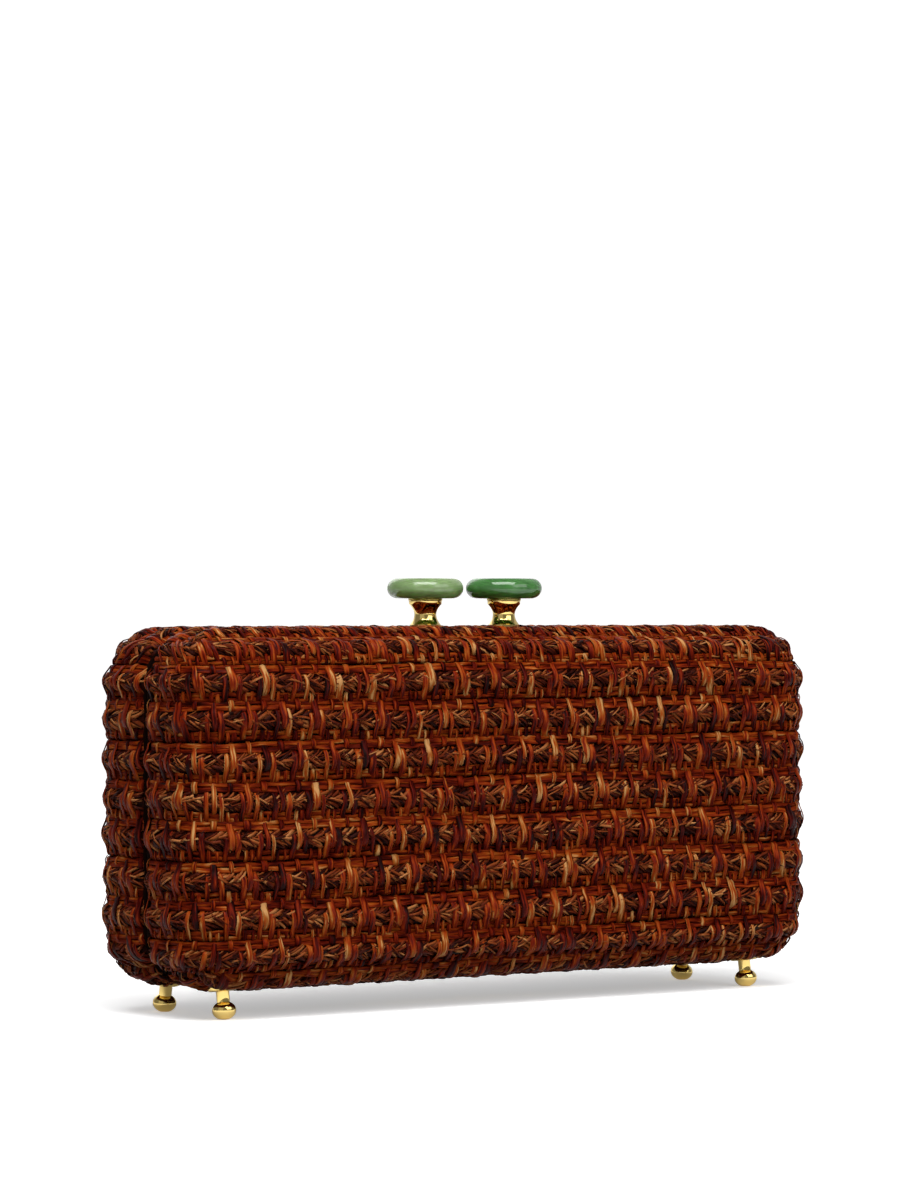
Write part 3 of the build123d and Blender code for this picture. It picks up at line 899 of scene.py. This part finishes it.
# %% [markdown]
# A disc's rim is a half round, and the disc sits a little deeper in its bezel than the solid does. A post
# is a spool: a base, a waist, and a collar with a thin bezel. Profiles are pairs of radius and height in
# mm. The base is measured from the top of the bag and the collar down from the stone.

# %% Stones and posts
BODY_TOP = MID_HEIGHT + HALF_HEIGHT
DISC_RADIUS, FLAT_EDGE, CAP_RADIUS = 10.0, 2.0, 0.6
BEZEL_DEPTH = 0.35
WAIST_RADIUS, WAIST_LEVEL, WAIST_STEPS = 2.9, 2.85, 12
POST_BASE = [(4.1, -2.6), (4.1, 0.2)]
BASE_FLARE, BASE_TOP = 1.1, 0.25
COLLAR_FLARE, COLLAR_BOTTOM = 1.35, -1.5
COLLAR = [(4.32, -1.42), (4.32, -0.62), (4.5, -0.5), (4.5, -0.06), (4.44, 0.0)]
for side, sign, stone in (("right", 1, dark_stone), ("left", -1, pale_stone)):
    stone_low, stone_high = [np.array(corner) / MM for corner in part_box(f"{side}_stone_disc")]
    stone_low[2] -= BEZEL_DEPTH
    thick = stone_high[2] - stone_low[2]
    rim = thick / 2
    spots = [(CAP_RADIUS, 0.0), (DISC_RADIUS - rim - FLAT_EDGE, 0.0)]
    spots += arc((DISC_RADIUS - rim, rim), (rim, rim), -90, 90, RIM_STEPS)
    spots += [(DISC_RADIUS - rim - FLAT_EDGE, thick), (CAP_RADIUS, thick)]
    seat = (sign * KNOB[0], sign * KNOB[1], stone_low[2])
    disc = lathe(f"{side}_polished_disc", spots, seat, (0, 0, 1), stone)
    top = stone_low[2] - BODY_TOP
    spots = list(POST_BASE)
    for flare, start in ((BASE_FLARE, BASE_TOP), (COLLAR_FLARE, top + COLLAR_BOTTOM)):
        leg = []
        for i in range(WAIST_STEPS + 1):
            z = start + (WAIST_LEVEL - start) * i / WAIST_STEPS
            leg.append((WAIST_RADIUS + flare * ((z - WAIST_LEVEL) / (start - WAIST_LEVEL)) ** 2, z))
        spots += leg if start < WAIST_LEVEL else leg[-2::-1]
    spots += [(radius, top + z) for radius, z in COLLAR]
    post = lathe(f"{side}_turned_post", spots, (seat[0], seat[1], BODY_TOP), (0, 0, 1), gilt_brass)
    for piece, slot, node in (
        (disc, "green_aventurine" if side == "right" else "pale_green_stone", f"{side}_stone_disc"),
        (post, "gilt_brass", f"{side}_knob_post"),
    ):
        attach(piece, "front_half" if side == "right" else "back_half")
        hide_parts(node)
print("discs", round(2 * DISC_RADIUS, 1), "by", round(thick, 2), "mm on posts", round(top, 2), "mm high")

# %% [markdown]
# The feet lean outwards by 9 degrees, so their axis does too. Their profile starts with a flange, measured
# from the shell, and ends with the ball. A flat under each ball lets it stand.

# %% Ball feet
LEAN = math.radians(9)
SHELL_BOTTOM = MID_HEIGHT - HALF_HEIGHT + COVER_THICKNESS
FOOT_SEAT_Y, FOOT_SIDES = 12.6, 48
FLANGE = [(3.6, 0.9), (3.6, 2.2), (3.4, 2.42), (1.75, 2.55), (1.65, 2.7)]
BALL_LEVEL, BALL_RADII, BALL_TURNS = 2.2, (3.05, 2.4), (-57, 78, 22)
reach = (SHELL_BOTTOM - BALL_LEVEL) / math.cos(LEAN)
spots = FLANGE + arc((0, reach), BALL_RADII, *BALL_TURNS)
for half_name, sign in (("front", -1), ("back", 1)):
    for side, x in (("left", -FOOT_X), ("right", FOOT_X)):
        seat = (x, sign * FOOT_SEAT_Y, SHELL_BOTTOM)
        axis = (0, sign * math.sin(LEAN), -math.cos(LEAN))
        foot = lathe(f"{half_name}_{side}_ball_foot", spots, seat, axis, gilt_brass, FOOT_SIDES)
        for vertex in foot.data.vertices:
            vertex.co.z = max(vertex.co.z, 0.0)
        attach(foot, f"{half_name}_half")
        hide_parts(f"{half_name}_{side}_foot")
print("feet reach", round(reach, 2), "mm from the shell to the ball")

# %% [markdown]
# ## Lining and hidden parts
# Inside, each tray is lined with a brushed microfibre, whose nap gives a soft sheen and a slight mottling.
# The shell under the cover is moulded fibre board. The other solids have the right form already and only
# get their material.

# %% Lining and shell materials
NAP_MM, FIBRE_MM, FLECK_MM = 6.0, 0.5, 1.5
suede, tree, shader, _ = mottled("brushed_microfibre", "#4A2E1D", "#6B4830", 0.9, NAP_MM, 5.0)
at = add(tree, "ShaderNodeTexCoord", out="Object")
fine = {"Vector": at, "Scale": 1 / (FIBRE_MM * MM), "Detail": 2.0}
fine = add(tree, "ShaderNodeTexNoise", fine, out="Fac")
bump = add(tree, "ShaderNodeBump", {"Strength": 0.4, "Distance": 0.0001, "Height": fine})
tree.links.new(bump, shader.inputs["Normal"])
shader.inputs["Sheen Weight"].default_value = 0.35
board = mottled("moulded_fibre_board", "#2C1F17", "#4A382C", 0.75, FLECK_MM, 4.0)[0]
print("lining", suede.name, "shell", board.name)

# %% [markdown]
# The lining solid has its corners in flats. The cloth in the tray is smooth, so a copy of the solid's mesh
# is merged, which joins its loose triangles, and shaded smooth except at its cut edges.

# %% Linings
LINING_WELD_MM = 0.001
for side in ("front", "back"):
    tray = bmesh.new()
    tray.from_mesh(frame["nodes"][f"{side}_lining"].data)
    bmesh.ops.remove_doubles(tray, verts=tray.verts, dist=LINING_WELD_MM * MM)
    lining = smooth_object(f"{side}_tray_lining", tray, suede)
    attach(lining, f"{side}_half")
    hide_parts(f"{side}_lining")

# %% [markdown]
# Every solid takes the material of its slot, also those that a made piece replaces.

# %% Finish the solids
FINISHES = {
    "lining_suede": suede, "moulded_board": board, "gilt_brass": gilt_brass, "magnet_nickel": nickel,
    "plate_steel": steel, "raffia": shade_ground_cloth,
    "green_aventurine": dark_stone, "pale_green_stone": pale_stone,
}
for subpart in frame["record"]["subparts"]:
    for material_slot in frame["nodes"][subpart["node"]].material_slots:
        material_slot.material = FINISHES[subpart["material_slot"]]

# %% [markdown]
# ## Floor, light and camera
# The photograph is a studio shot on white, so the floor is white paper that runs up behind the bag in one
# sweep. It glows a little for the camera and in reflections only, which keeps it white without more light
# on the bag, and it throws back little light, as where dark cards stand round a bag. The hinge is so low
# that an opened half swings below the floor. Round the bag the paper is clear where something lies just
# beneath it, so that half can be seen whole, and there it is clear from below too.

# %% Paper
GLOW_BY_DISTANCE = {1: 0.2, 2: 1.2, 3: 0.4, 4: 0.78}
GLOSSY_SHARE = 0.4
BENEATH_M, BENEATH_OPEN, BENEATH_RAYS = 0.04, 0.55, 6


def white_paper(name, shows_beneath):
    material = bpy.data.materials.new(name)
    material.use_nodes = True
    tree = material.node_tree
    tree.nodes.remove(tree.nodes["Principled BSDF"])
    ray = add(tree, "ShaderNodeLightPath", out=None).outputs
    matt = {0: ray["Is Diffuse Ray"], 6: linear("#F4F4F4"), 7: linear("#A0A0A0")}
    matt = add(tree, "ShaderNodeMix", matt, out=2, data_type="RGBA")
    matt = add(tree, "ShaderNodeBsdfDiffuse", {"Color": matt})
    seen = {0: ray["Is Glossy Ray"], 1: GLOSSY_SHARE, 2: ray["Is Camera Ray"]}
    seen = add(tree, MATH, seen, operation="MULTIPLY_ADD")
    seen = add(tree, MATH, {0: seen, 1: ray["Is Transmission Ray"]}, operation="MAXIMUM")
    at = add(tree, "ShaderNodeTexCoord", out="Object")
    far = add(tree, VECTOR_MATH, {0: at}, out=1, operation="LENGTH")
    far = add(tree, "ShaderNodeMapRange", {0: far, **GLOW_BY_DISTANCE})
    glow = add(tree, MATH, {0: seen, 1: far}, operation="MULTIPLY")
    glow = add(tree, "ShaderNodeEmission", {"Strength": glow})
    surface = add(tree, "ShaderNodeAddShader", {0: matt, 1: glow})
    if shows_beneath:
        space = add(tree, "ShaderNodeAmbientOcclusion", {"Distance": BENEATH_M}, out="AO",
                    inside=True, samples=BENEATH_RAYS)
        clear = add(tree, MATH, {0: space, 1: BENEATH_OPEN}, operation="LESS_THAN")
        under_side = add(tree, "ShaderNodeNewGeometry", out="Backfacing")
        clear = add(tree, MATH, {0: clear, 1: under_side}, operation="MAXIMUM")
        glass = add(tree, "ShaderNodeBsdfTransparent")
        surface = add(tree, "ShaderNodeMixShader", {0: clear, 1: surface, 2: glass})
    tree.links.new(surface, tree.nodes["Material Output"].inputs[0])
    return material


print("paper glows", GLOW_BY_DISTANCE[3], "near and", GLOW_BY_DISTANCE[4], "far")

# %% [markdown]
# The sheet is three columns wide and faces the camera. Its one face under the bag takes the second paper.

# %% Floor
VIEW_YAW = math.radians(36.36)
HALF_FLOOR, HALF_PATCH = 4.0, 0.3
SWEEP_START, SWEEP_RADIUS, SWEEP_STEPS = 1.6, 0.8, 12
sweep = bmesh.new()
columns = (-HALF_FLOOR, -HALF_PATCH, HALF_PATCH, HALF_FLOOR)
spots = [(y, 0.0) for y in (-HALF_FLOOR, -HALF_PATCH, HALF_PATCH, SWEEP_START)]
rise = arc((0, 0), (SWEEP_RADIUS, SWEEP_RADIUS), -90, 0, SWEEP_STEPS)
spots += [(SWEEP_START + y, SWEEP_RADIUS + z) for y, z in rise[1:]]
spots += [(SWEEP_START + SWEEP_RADIUS, HALF_FLOOR)]
ends = [[sweep.verts.new((x, y, z)) for y, z in spots] for x in columns]
for one, two in zip(ends, ends[1:]):
    for i in range(len(spots) - 1):
        face = sweep.faces.new((one[i], two[i], two[i + 1], one[i + 1]))
        face.material_index = 1 if one is ends[1] and i == 1 else 0
sweep.transform(Matrix.Rotation(-VIEW_YAW, 4, "Z"))
floor = smooth_object("paper_sweep", sweep, white_paper("white_paper", False), keep_edges=False)
floor.data.materials.append(white_paper("white_paper_under_bag", True))
print("paper sweep", len(floor.data.polygons), "faces")

# %% [markdown]
# Soft boxes light the bag from above, from the left and from the front, and a weak one from behind. A low
# even light fills the rest, and the camera sees it as white.

# %% Lights
SKY_FILL, SKY_SEEN = 0.22, 1.0
world = bpy.data.worlds.new("studio")
bpy.context.scene.world = world
world.use_nodes = True
sky = world.node_tree.nodes["Background"]
sky.inputs["Color"].default_value = (1.0, 1.0, 1.0, 1.0)
sky_ray = add(world.node_tree, "ShaderNodeLightPath", out=None).outputs
white_for = {0: sky_ray["Is Camera Ray"], 1: sky_ray["Is Transmission Ray"]}
white_for = add(world.node_tree, MATH, white_for, operation="MAXIMUM")
sky_strength = add(world.node_tree, "ShaderNodeMapRange", {0: white_for, 3: SKY_FILL, 4: SKY_SEEN})
world.node_tree.links.new(sky_strength, sky.inputs["Strength"])


def soft_box(name, place_at, aim, size, power):
    lamp = bpy.data.lights.new(name, "AREA")
    lamp.shape = "RECTANGLE"
    lamp.size, lamp.size_y = size
    lamp.energy = power
    box = show(name, lamp)
    box.location = place_at
    box.rotation_euler = (Vector(aim) - Vector(place_at)).to_track_quat("-Z", "Y").to_euler()


soft_box("top_box", (-0.3, -0.4, 0.95), (0.0, 0.0, 0.06), (1.0, 0.56), 14.0)
soft_box("left_box", (-0.95, -0.35, 0.45), (0.0, 0.0, 0.06), (0.9, 0.9), 0.7)
soft_box("front_box", (0.35, -1.2, 0.7), (0.0, 0.0, 0.05), (1.2, 0.8), 7.0)
soft_box("back_box", (0.5, 1.3, 0.7), (0.0, 0.0, 0.05), (1.2, 0.8), 3.0)

# %% [markdown]
# The camera is level, with a long lens, turned 36 degrees to the bag's front.

# %% Camera
PHOTO_WIDTH, PHOTO_HEIGHT = 900, 1200
FOCAL_PIXELS = 4550.0
CENTRE_X, CENTRE_Y = 464.7, 608.9
lens = bpy.data.cameras.new("studio_camera")
lens.sensor_fit = "HORIZONTAL"
lens.sensor_width = 36.0
lens.lens = FOCAL_PIXELS / PHOTO_WIDTH * lens.sensor_width
lens.shift_x = (PHOTO_WIDTH / 2 - CENTRE_X) / PHOTO_WIDTH
lens.shift_y = (CENTRE_Y - PHOTO_HEIGHT / 2) / PHOTO_WIDTH
lens.clip_start = 0.05
lens.clip_end = 20.0
camera = show("studio_camera", lens)
camera.location = (-0.7073, -0.9608, 0.1021)
camera.rotation_euler = (math.pi / 2, 0, -VIEW_YAW)
bpy.context.scene.camera = camera
bpy.context.scene.view_settings.view_transform = "Standard"
print("lens", round(lens.lens, 1), "mm")

# %% [markdown]
# ## Finish
# Last the scene's view layer is updated.

# %% Finish
bpy.context.view_layer.update()
